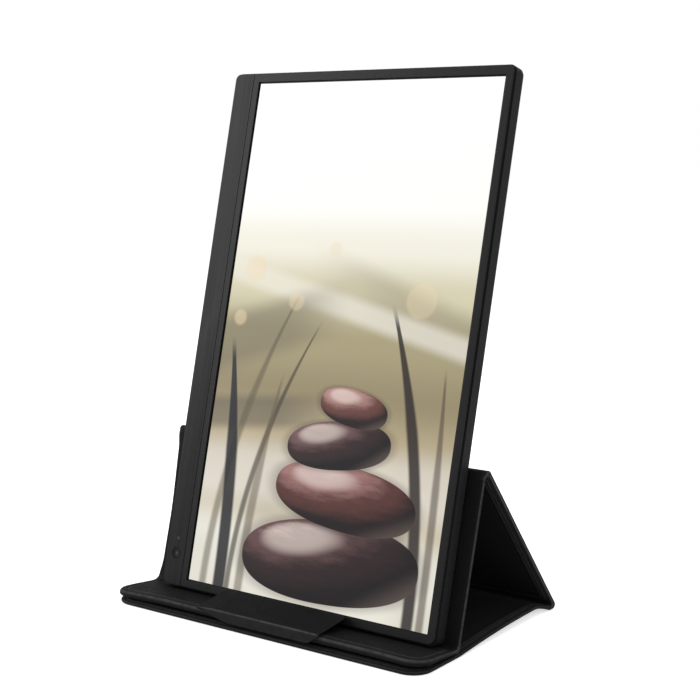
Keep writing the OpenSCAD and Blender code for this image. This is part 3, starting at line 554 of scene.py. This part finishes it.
def slab(name, material, body, w, y0, y1, low, high, r0, r1, rim, place, sunk=0.0, warp=None, hem=HEM,
         highlight=0.7, highlight_low=0.4, grooves=(), groove_side=1.0):
    """A panel with a rounded rim and corners r0 in front and r1 behind. low(x, y) and high(x, y) are its faces. sunk
    lowers the high face, or if negative raises the low one, by that much inside the hem."""
    lips = [k + d for k in grooves for d in (-LIP, LIP)]
    beds = [k + d for k in grooves for d in (-BED, BED)]
    inner = sorted(lips + beds + [hem - 0.5, hem - 0.15, hem + 0.1, hem + 0.4])
    reach = min(w, y1 - y0) / 2 - 0.8
    d = hem + 3
    while d < reach:
        inner.append(d)
        d += 5.0
    inner.append(reach)
    loops = [(k, -1.0) for k in reversed(inner) if k > rim]
    steps = 8
    loops += [(rim * (1 - cosd(a)), sind(a)) for a in [-90 + 180.0 * i / steps for i in range(steps + 1)]]
    loops += [(k, 1.0) for k in inner if k > rim]
    nx, ny = max(8, int(w / 6)), max(4, int((y1 - y0) / 3.2))
    bm = bmesh.new()
    wear = bm.verts.layers.float.new("wear")
    rows = []
    for k, s in loops:
        row = []
        turn = math.degrees(math.asin(s)) if k < rim else 90.0
        # mark: painted highlight on the rounded rim, placed by the rim's angle, and on the lips of the pressed lines
        mark = highlight * (math.exp(-((turn - HIGHLIGHT_AT) / HIGHLIGHT_SPREAD) ** 2)
                       + highlight_low * math.exp(-((turn + HIGHLIGHT_AT) / HIGHLIGHT_SPREAD) ** 2))
        if k in lips and s == groove_side:
            mark = LIP_HIGHLIGHT
        for x, y in ring(w, y0, y1, r0, r1, k, nx, ny):
            lo, hi = low(x, y), high(x, y)
            z = (lo + hi) / 2 + s * (hi - lo) / 2
            if k in beds and s == groove_side:
                z -= PRESSED * s
            if sunk > 0 and s == 1.0 and k > hem - 0.2:
                z -= sunk * min(1.0, (k - hem + 0.2) / 0.3)
            if sunk < 0 and s == -1.0 and k > hem - 0.2:
                z -= sunk * min(1.0, (k - hem + 0.2) / 0.3)
            p = (x, y, z)
            if warp:
                p = warp(*p)
            v = bm.verts.new(place(*p))
            v[wear] = mark
            row.append(v)
        rows.append(row)
    loft(bm, rows)
    bm.faces.new(list(reversed(rows[0])))
    bm.faces.new(rows[-1])
    return add_object(name, bm, material, body, SMOOTH)


def at(p, a):
    """Panel coordinates to the row frame: local +Y lies along angle a from the side-view point p."""
    ca, sa = cosd(a), sind(a)

    def place(x, y, z):
        return Vector((x, p[0] + y * ca - z * sa, p[1] + y * sa + z * ca)) * MM
    return place


def wave(x, y, seed, size=38.0, amount=0.16):
    """A soft unevenness, so that no panel is a perfect plane."""
    return amount * noise.noise(Vector((x / size, y / size, seed)))


# ---------------------------------------------------------------- cover panels


def ease(t):
    t = min(max(t, 0.0), 1.0)
    return t * t * (3 - 2 * t)


def base_floor(y):
    """The base lies flat in front, bows up softly behind its crease and comes down before the rear crease."""
    t = min(max((y - CREASE_Y) / (ARCH_Y - CREASE_Y), 0.0), 1.0)
    return ARCH_H * (1 - (1 - t) ** 2) * (1 - ease((y - ARCH_Y) / (LANDING_Y - ARCH_Y)))


def left_share(x):
    """0 in the middle of the cover, 1 at its left edge."""
    return min(1.0, max(0.0, (-60 - x) / (PANEL_W / 2 - 60)))


def right_share(x):
    """0 in the middle of the cover, 1 at its right edge."""
    return ease((x - 95) / (PANEL_W / 2 - 95))


def base_warp(x, y, z):
    return x + OUTSTAND * ease((y - 62) / 16) * right_share(x), y, z


def flat(z):
    return lambda x, y: z


# The lining: its rim, how deep it lies in the hem's opening, its overlap with the panel, and an inner piece's hem
CLOTH_RIM, NAP_IN, OVERLAP, INNER_HEM = 0.25, 0.12, 0.05, 2.0
# A board: its rim, and the room left to the skin or the lining
BOARD_RIM, BOARD_ROOM = 0.3, 0.1


def lining_wave(x, y, seed):
    return wave(x, y, seed, 30, 0.08)


BASE_Y1 = REAR[0] - GAP
straight = at((0.0, 0.0), 0.0)
base = slab("base_leather", LEATHER, "base", BASE_W, -BASE_LEN / 2, BASE_Y1,
            lambda x, y: base_floor(y), lambda x, y: base_floor(y) + PT, FRONT_R, SQUARE_R, PT / 2, straight,
            sunk=LINING, highlight=0.2, highlight_low=0.2, grooves=HEM_LINES, warp=base_warp, hem=BROAD_HEM)
stand_in("base_skin")
base_cloth = slab("base_lining_cloth", LINING_MAT, "base", BASE_W - 2 * BROAD_HEM,
                  -BASE_LEN / 2 + BROAD_HEM, BASE_Y1 - BROAD_HEM,
                  lambda x, y: base_floor(y) + PT - LINING - OVERLAP,
                  lambda x, y: base_floor(y) + PT - NAP_IN + lining_wave(x, y, 2.0),
                  FRONT_R - BROAD_HEM, CLOTH_R, CLOTH_RIM, straight, hem=INNER_HEM)
stand_in("base_lining")
for piece, node, y0, y1, r0 in (
        ("base_front_greyboard", "base_board_front", HEM + FIT - BASE_LEN / 2, BOARD_JOINTS[0] - GAP, FRONT_R - HEM),
        ("base_rear_greyboard", "base_board_rear", BOARD_JOINTS[0] + GAP, BOARD_JOINTS[1] - GAP, SQUARE_R),
        ("spine_greyboard", "spine_board", BOARD_JOINTS[1] + GAP, BASE_Y1 - HEM - FIT, SQUARE_R)):
    board = slab(piece, GREYBOARD, "base", BASE_W - 2 * (HEM + FIT), y0, y1,
                 lambda x, y: base_floor(y) + SKIN + OVERLAP, lambda x, y: base_floor(y) + PT - LINING - BOARD_ROOM,
                 r0, SQUARE_R, BOARD_RIM, straight, hem=INNER_HEM)
    stand_in(node)


def strut_warp(x, y, z):
    return x - FLARE * ease((24 - y) / 24) * left_share(x) + OUTSTAND * right_share(x), y, z


on_strut = at(TOP, -STRUT_A)
strut = slab("strut_leather", LEATHER, "strut", PANEL_W, GAP, STRUT_LEN - GAP, flat(0.0),
             lambda x, y: PT + BULGE + wave(x, y, 5.0), SQUARE_R, SQUARE_R, PT / 2, on_strut, sunk=-LINING,
             warp=strut_warp, highlight_low=1.2, grooves=HEM_LINES, groove_side=-1.0, hem=BROAD_HEM)
stand_in("strut_skin")
strut_cloth = slab("strut_lining_cloth", LINING_MAT, "strut", PANEL_W - 2 * BROAD_HEM,
                   GAP + BROAD_HEM, STRUT_LEN - GAP - BROAD_HEM,
                   lambda x, y: NAP_IN + lining_wave(x, y, 7.0), flat(LINING + OVERLAP),
                   CLOTH_R, CLOTH_R, CLOTH_RIM, on_strut, hem=INNER_HEM, warp=strut_warp)
stand_in("strut_lining")


def drawn_in(y):
    """How far the support panel's left edge draws in below its top corner, which stands out a little."""
    return 3.1 * ease((110 - y) / 66) * (1 - 0.6 * ease((16 - y) / 16)) - FLARE * ease((y - 94) / 10)


def support_warp(x, y, z):
    return x + drawn_in(y) * left_share(x), y, z


on_support = at(BEND, 90 - LEAN)
support = slab("support_leather", LEATHER, "support", PANEL_W, GAP, SUP_LEN - GAP, flat(-PT), flat(0.0),
               SQUARE_R, SQUARE_R, PT / 2, on_support, sunk=-LINING, warp=support_warp)
stand_in("support_skin")
support_cloth = slab("support_lining_cloth", LINING_MAT, "support", PANEL_W - 2 * HEM,
                     GAP + HEM, SUP_LEN - GAP - HEM,
                     lambda x, y: -PT + NAP_IN + lining_wave(x, y, 9.0), flat(-PT + LINING + OVERLAP),
                     CLOTH_R, CLOTH_R, CLOTH_RIM, on_support, warp=support_warp, hem=INNER_HEM)
stand_in("support_lining")

on_front = at(HINGE, -RISE)
FRONT_RIM = 2.0


def front_depth(y):
    """The front panel is a wedge, thicker at its front."""
    return PT + (FRONT_T - PT) * (FRONT_LEN - y) / FRONT_LEN


def front_warp(x, y, z):
    """The free front corners hang a little, the left one more."""
    near = ease((22.0 - y) / 22.0)
    corner = ease((-106 - x) / 19) * ease((18 - y) / 18)
    droop = 1.1 * ease((-78 - x) / 45.0) + 0.5 * ease((x - 90) / 33.0)
    return x - 1.2 * near * ease((-100 - x) / 25) - 1.6 * corner, y - 1.0 * corner, z - near * droop


front = slab("front_panel_leather", LEATHER_TOP, "front_panel", PANEL_W, 0.0, FRONT_LEN - GAP,
             lambda x, y: -front_depth(y), lambda x, y: wave(x, y, 11.0, 30, 0.1), FRONT_R, SQUARE_R, FRONT_RIM,
             on_front, sunk=-LINING, warp=front_warp, highlight=0.62, highlight_low=0.0, grooves=(4.0,))
stand_in("front_panel_skin")
front_board = slab("front_panel_greyboard", GREYBOARD, "front_panel", PANEL_W - 2 * (HEM + FIT), HEM + FIT,
                   FRONT_LEN - GAP - HEM - FIT, lambda x, y: -front_depth(y) + LINING + BOARD_ROOM, flat(-SKIN),
                   FRONT_R - HEM, CLOTH_R, BOARD_RIM, on_front, hem=INNER_HEM, warp=front_warp)
stand_in("front_panel_board")
front_cloth = slab("front_panel_lining_cloth", LINING_MAT, "front_panel", PANEL_W - 2 * HEM, HEM,
                   FRONT_LEN - GAP - HEM,
                   lambda x, y: -front_depth(y) + NAP_IN, lambda x, y: -front_depth(y) + LINING + OVERLAP,
                   FRONT_R - HEM, CLOTH_R, CLOTH_RIM, on_front, hem=INNER_HEM, warp=front_warp)
stand_in("front_panel_lining")

# ---------------------------------------------------------------- creases


# The rounding of a crease's ends, the steps round its bend, how far it stands proud, and its turned-in edge
END_R, BEND_STEPS, PROUD, TUCK = 1.3, 12, 0.05, 0.25


def crease(name, node, p, a0, a1, lap, fillet, side, proud=(PROUD, PROUD)):
    """A band of leather round the line p, from the panel whose outer face is at angle a0 to the one at a1. It laps
    each by lap. fillet(x) is the radius on the hollow side, side(x, along) a move sideways."""
    inside = 180.0 - (a1 - a0)
    ta, tb = a0 - 90, a1 + 90
    mid = (a0 + a1) / 2 + 180
    turns = [i / BEND_STEPS for i in range(BEND_STEPS + 1)]
    bm = bmesh.new()
    wear = bm.verts.layers.float.new("wear")
    rows = []
    w = PANEL_W
    n = int(w / 3)
    ends = [0.0, 0.15, 0.5, 1.0]
    middle = [1.4 + (w - 2.8) * i / n for i in range(1, n)]
    for s in ends + middle + [w - e for e in reversed(ends)]:
        x = s - w / 2
        near = min(s, w - s)
        shrink = 0.0 if near >= END_R else END_R - math.sqrt(max(0.0, END_R ** 2 - (END_R - near) ** 2))
        ra, rb = PT + proud[0] - shrink, PT + proud[1] - shrink
        f = fillet(x)
        q = f / math.tan(math.radians(inside / 2))
        la = max(lap, q + 2.0)
        left = 1 - shrink / END_R
        outer, hollow = [], []
        for u in (1.0, 0.7, 0.4):
            outer.append(polar(polar(p, la * u, ta), ra - (TUCK * left if u == 1.0 else 0.0), a0))
        outer += [polar(p, ra + (rb - ra) * t, a0 + (a1 - a0) * t) for t in turns]
        for u in (0.4, 0.7, 1.0):
            outer.append(polar(polar(p, la * u, tb), rb - (TUCK * left if u == 1.0 else 0.0), a1))
        laps = ((la, 0.3), (q + 1.3, 0.0), (q + 0.5, -PROUD))
        centre = polar(p, f / math.sin(math.radians(inside / 2)), mid)
        hollow += [polar(polar(p, u, ta), d * left + 0.97 * shrink, a0) for u, d in laps]
        hollow += [polar(polar(centre, f, a0 + (a1 - a0) * t), PROUD - 0.97 * shrink, mid) for t in turns]
        hollow += [polar(polar(p, u, tb), d * left + 0.97 * shrink, a1) for u, d in reversed(laps)]
        pts = outer + hollow[::-1]
        row = []
        for c in pts:
            along = (c[0] - p[0]) * cosd(tb) + (c[1] - p[1]) * sind(tb)
            v = bm.verts.new(Vector((x + side(x, along), c[0], c[1])) * MM)
            # painted highlight along the rounded ends of the band
            v[wear] = 0.75 * math.exp(-((near - 0.45) / 0.35) ** 2)
            row.append(v)
        rows.append(row)
    loft(bm, rows)
    m = len(rows[0])
    for row in (rows[0], list(reversed(rows[-1]))):
        for i in range(m // 2 - 1):
            bm.faces.new((row[i], row[i + 1], row[m - 2 - i], row[m - 1 - i]))
    obj = add_object(name, bm, LEATHER, None, SMOOTH)
    s, e = polar(p, lap, ta), polar(p, lap, tb)
    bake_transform(obj)
    stand_in(node)


LAP, FILLET, FRONT_LAP = 3.4, 1.2, 4.0
crease("rear_crease_leather", "rear_crease_fold", REAR, -90, 90 - STRUT_A, LAP, lambda x: FILLET,
       lambda x, along: OUTSTAND * right_share(x), proud=(PROUD, BULGE))
crease("top_crease_leather", "top_crease_fold", TOP, 90 - STRUT_A, 180 - LEAN, LAP,
       lambda x: FILLET,
       lambda x, along: -FLARE * left_share(x) + OUTSTAND * right_share(x) * ease((2.5 - along) / 4),
       proud=(BULGE, PROUD))


def bend_fillet(x):
    """Wide at the free left end, tight behind the monitor and at the right."""
    t = min(max((x + PANEL_W / 2) / 13.0, 0.0), 1.0)
    return 1.0 + 3.2 * (1 - t) ** 1.6


def bend_side(x, along):
    """The drawn-in edge of the support runs out to the full width on the front panel."""
    return drawn_in(max(along, 0.0)) * ease((along + 2.0) / 5.0) * left_share(x)


crease("front_bend_leather", "front_bend_fold", BEND, -90 - RISE, -LEAN, FRONT_LAP,
       bend_fillet, bend_side)

# ---------------------------------------------------------------- lip flap

on_flap_frame = at(HINGE, FLAP_RISE)


def on_flap(x, y, z):
    k = (FLAP_W - FLAP_TAPER * (1 - y / FLAP_LEN)) / FLAP_W
    return on_flap_frame(FLAP_X + x * k, y, z)


def thinned(x):
    """The flap's thickness runs out towards its left edge."""
    return 0.3 + 0.7 * ease((x + FLAP_W / 2) / 16)


flap = slab("lip_flap_leather", LEATHER_TOP, "flap", FLAP_W, GAP - 0.6, FLAP_LEN, flat(0.02),
            lambda x, y: FLAP_T * thinned(x) + wave(x, y, 13.0, 26, 0.14), 1.0, 3.0, 0.7, on_flap, hem=2.2, highlight=0.3)
stand_in("flap_skin")
# The flap's board is short of the thin left edge
flap_board = slab("flap_greyboard", GREYBOARD, "flap", FLAP_W - 25, HEM, FLAP_LEN - 2.5, flat(SKIN),
                  flat(FLAP_T - SKIN), 0.8, 1.8, 0.12, lambda x, y, z: on_flap(x + 9.5, y, z), hem=INNER_HEM,
                  highlight=0.0)
stand_in("flap_board")


def flap_crease():
    """The flap's leather turns over the front panel's edge."""
    w = FLAP_W - FLAP_TAPER
    bm = bmesh.new()
    wear = bm.verts.layers.float.new("wear")
    rows = []
    n = 40
    a0, a1 = 90 + FLAP_RISE, 180
    for i in range(n + 1):
        s = w * i / n
        near = min(s, w - s)
        k = 1.0 if near > 1.5 else math.sqrt(max(0.02, 1 - (1 - near / 1.5) ** 2))
        x = FLAP_X - w / 2 + s
        pts = []
        r = FLAP_T * (0.55 + 0.45 * k) * thinned(x)
        for u in (5.0, 3.0, 1.2):
            pts.append(polar(polar(HINGE, u, a0 - 90), r - (0.2 if u == 5.0 else 0.0), a0))
        for j in range(11):
            pts.append(polar(HINGE, r, a0 + (a1 - a0) * j / 10.0))
        wall = HINGE[1] - 0.3 - (FRONT_T - 0.3) * min(ease(s / 30), ease((w - s) / 9))
        for j in range(1, 5):
            pts.append((HINGE[0] - r, HINGE[1] + (wall - HINGE[1]) * j / 4.0))
        for a in (205, 230, 255):
            pts.append(polar((HINGE[0] - r + 0.9, wall), 0.9, a))
        pts.append((HINGE[0] - r + 1.2, wall + 0.6))
        pts.append((HINGE[0] - r + 1.2, HINGE[1] - 0.6))
        pts.append(polar(polar(HINGE, 5.0, a0 - 90), 0.3, a0))
        row = []
        for c in pts:
            v = bm.verts.new(Vector((x, c[0], c[1])) * MM)
            turn = math.degrees(math.atan2(c[1] - HINGE[1], HINGE[0] - c[0]))
            # painted highlight over the top of the fold, and a little painted light on its front wall
            v[wear] = 0.5 * math.exp(-((turn - 50.0) / 18.0) ** 2) + (0.1 if c[0] < HINGE[0] - 1 else 0.0)
            row.append(v)
        rows.append(row)
    loft(bm, rows)
    bm.faces.new(rows[0])
    bm.faces.new(list(reversed(rows[-1])))
    obj = add_object("flap_crease_leather", bm, LEATHER_TOP, None, SMOOTH)
    s, e = polar(HINGE, 1.8, 180 - RISE), polar(HINGE, 4.0, FLAP_RISE)
    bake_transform(obj)
    stand_in("flap_crease_fold")


flap_crease()

# ---------------------------------------------------------------- hard pieces with softened edges


def refine(node, material, bevel, body="monitor"):
    """A copy of a CAD node with its edges rounded off."""
    bm = bmesh.new()
    bm.from_mesh(frame["nodes"][node].data)
    bmesh.ops.remove_doubles(bm, verts=bm.verts, dist=2e-6)
    bmesh.ops.dissolve_limit(bm, angle_limit=math.radians(1.0), verts=bm.verts, edges=bm.edges)
    obj = add_object(node + "_finished", bm, material, None, 30.0)
    mod = obj.modifiers.new("edge", "BEVEL")
    mod.width = bevel * MM
    mod.segments = 2
    mod.limit_method = "ANGLE"
    mod.angle_limit = math.radians(35.0)
    mod.harden_normals = True
    deps = bpy.context.evaluated_depsgraph_get()
    deps.update()
    baked = bpy.data.meshes.new_from_object(obj.evaluated_get(deps))
    obj.modifiers.clear()
    obj.data = baked
    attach(obj, body)
    stand_in(node)


refine("front_bezel", BEZEL, 0.3)
refine("brushed_strip", STRIP, 0.3)
refine("rear_cover", SHELL, 0.2)
refine("power_button", BUTTON, 0.25, "power_button")
refine("light_pipe", LAMP, 0.1)
refine("rubber_pads", RUBBER, 0.2)
refine("cable_socket", STEEL, 0.08)

# ---------------------------------------------------------------- floor, world and lights


def background_rays(tree):
    """1 for the rays that see the background: the camera's, those of gloss and those through glass."""
    path = tree.nodes.new("ShaderNodeLightPath")
    seen = path.outputs["Is Camera Ray"]
    for kind in ("Is Glossy Ray", "Is Transmission Ray"):
        either = tree.nodes.new("ShaderNodeMath")
        either.operation = "MAXIMUM"
        tree.links.new(seen, either.inputs[0])
        tree.links.new(path.outputs[kind], either.inputs[1])
        seen = either.outputs[0]
    return seen


bm = bmesh.new()
bmesh.ops.create_grid(bm, x_segments=1, y_segments=1, size=3.0)
floor_mesh = bpy.data.meshes.new("floor")
bm.to_mesh(floor_mesh)
bm.free()
floor = bpy.data.objects.new("floor", floor_mesh)
floor.location.z = -0.0003
bpy.context.scene.collection.objects.link(floor)
g = Graph("floor_white")
floor_mesh.materials.append(g.set(color=(0.8, 0.8, 0.8), rough=0.9, spec=0.0, glow=(1, 1, 1),
                                  glow_strength=g.m("MULTIPLY", background_rays(g.nt), 0.62)))

world = bpy.data.worlds.new("studio")
bpy.context.scene.world = world
world.use_nodes = True
wn = world.node_tree
bg = wn.nodes["Background"]
level = wn.nodes.new("ShaderNodeMapRange")
wn.links.new(background_rays(wn), level.inputs["Value"])
level.inputs["To Min"].default_value = 0.55
level.inputs["To Max"].default_value = 1.0
wn.links.new(level.outputs["Result"], bg.inputs["Strength"])
bg.inputs["Color"].default_value = (1, 1, 1, 1)


def softbox(name, loc, size, power):
    """A rectangular lamp aimed at the middle of the object."""
    light = bpy.data.lights.new(name, "AREA")
    light.shape = "RECTANGLE"
    light.size, light.size_y = size
    light.energy = power
    obj = bpy.data.objects.new(name, light)
    obj.location = loc
    obj.rotation_euler = (Vector((0, 0, 0.15)) - Vector(loc)).to_track_quat("-Z", "Y").to_euler()
    bpy.context.scene.collection.objects.link(obj)


softbox("key", (-1.75, -1.05, 1.05), (1.1, 1.3), 30)
softbox("fill", (1.5, -1.2, 1.3), (1.0, 1.0), 9)
softbox("top", (0.0, 0.4, 1.9), (1.6, 1.0), 18)

# ---------------------------------------------------------------- done

bpy.context.scene.view_settings.view_transform = "Standard"
bpy.context.view_layer.update()
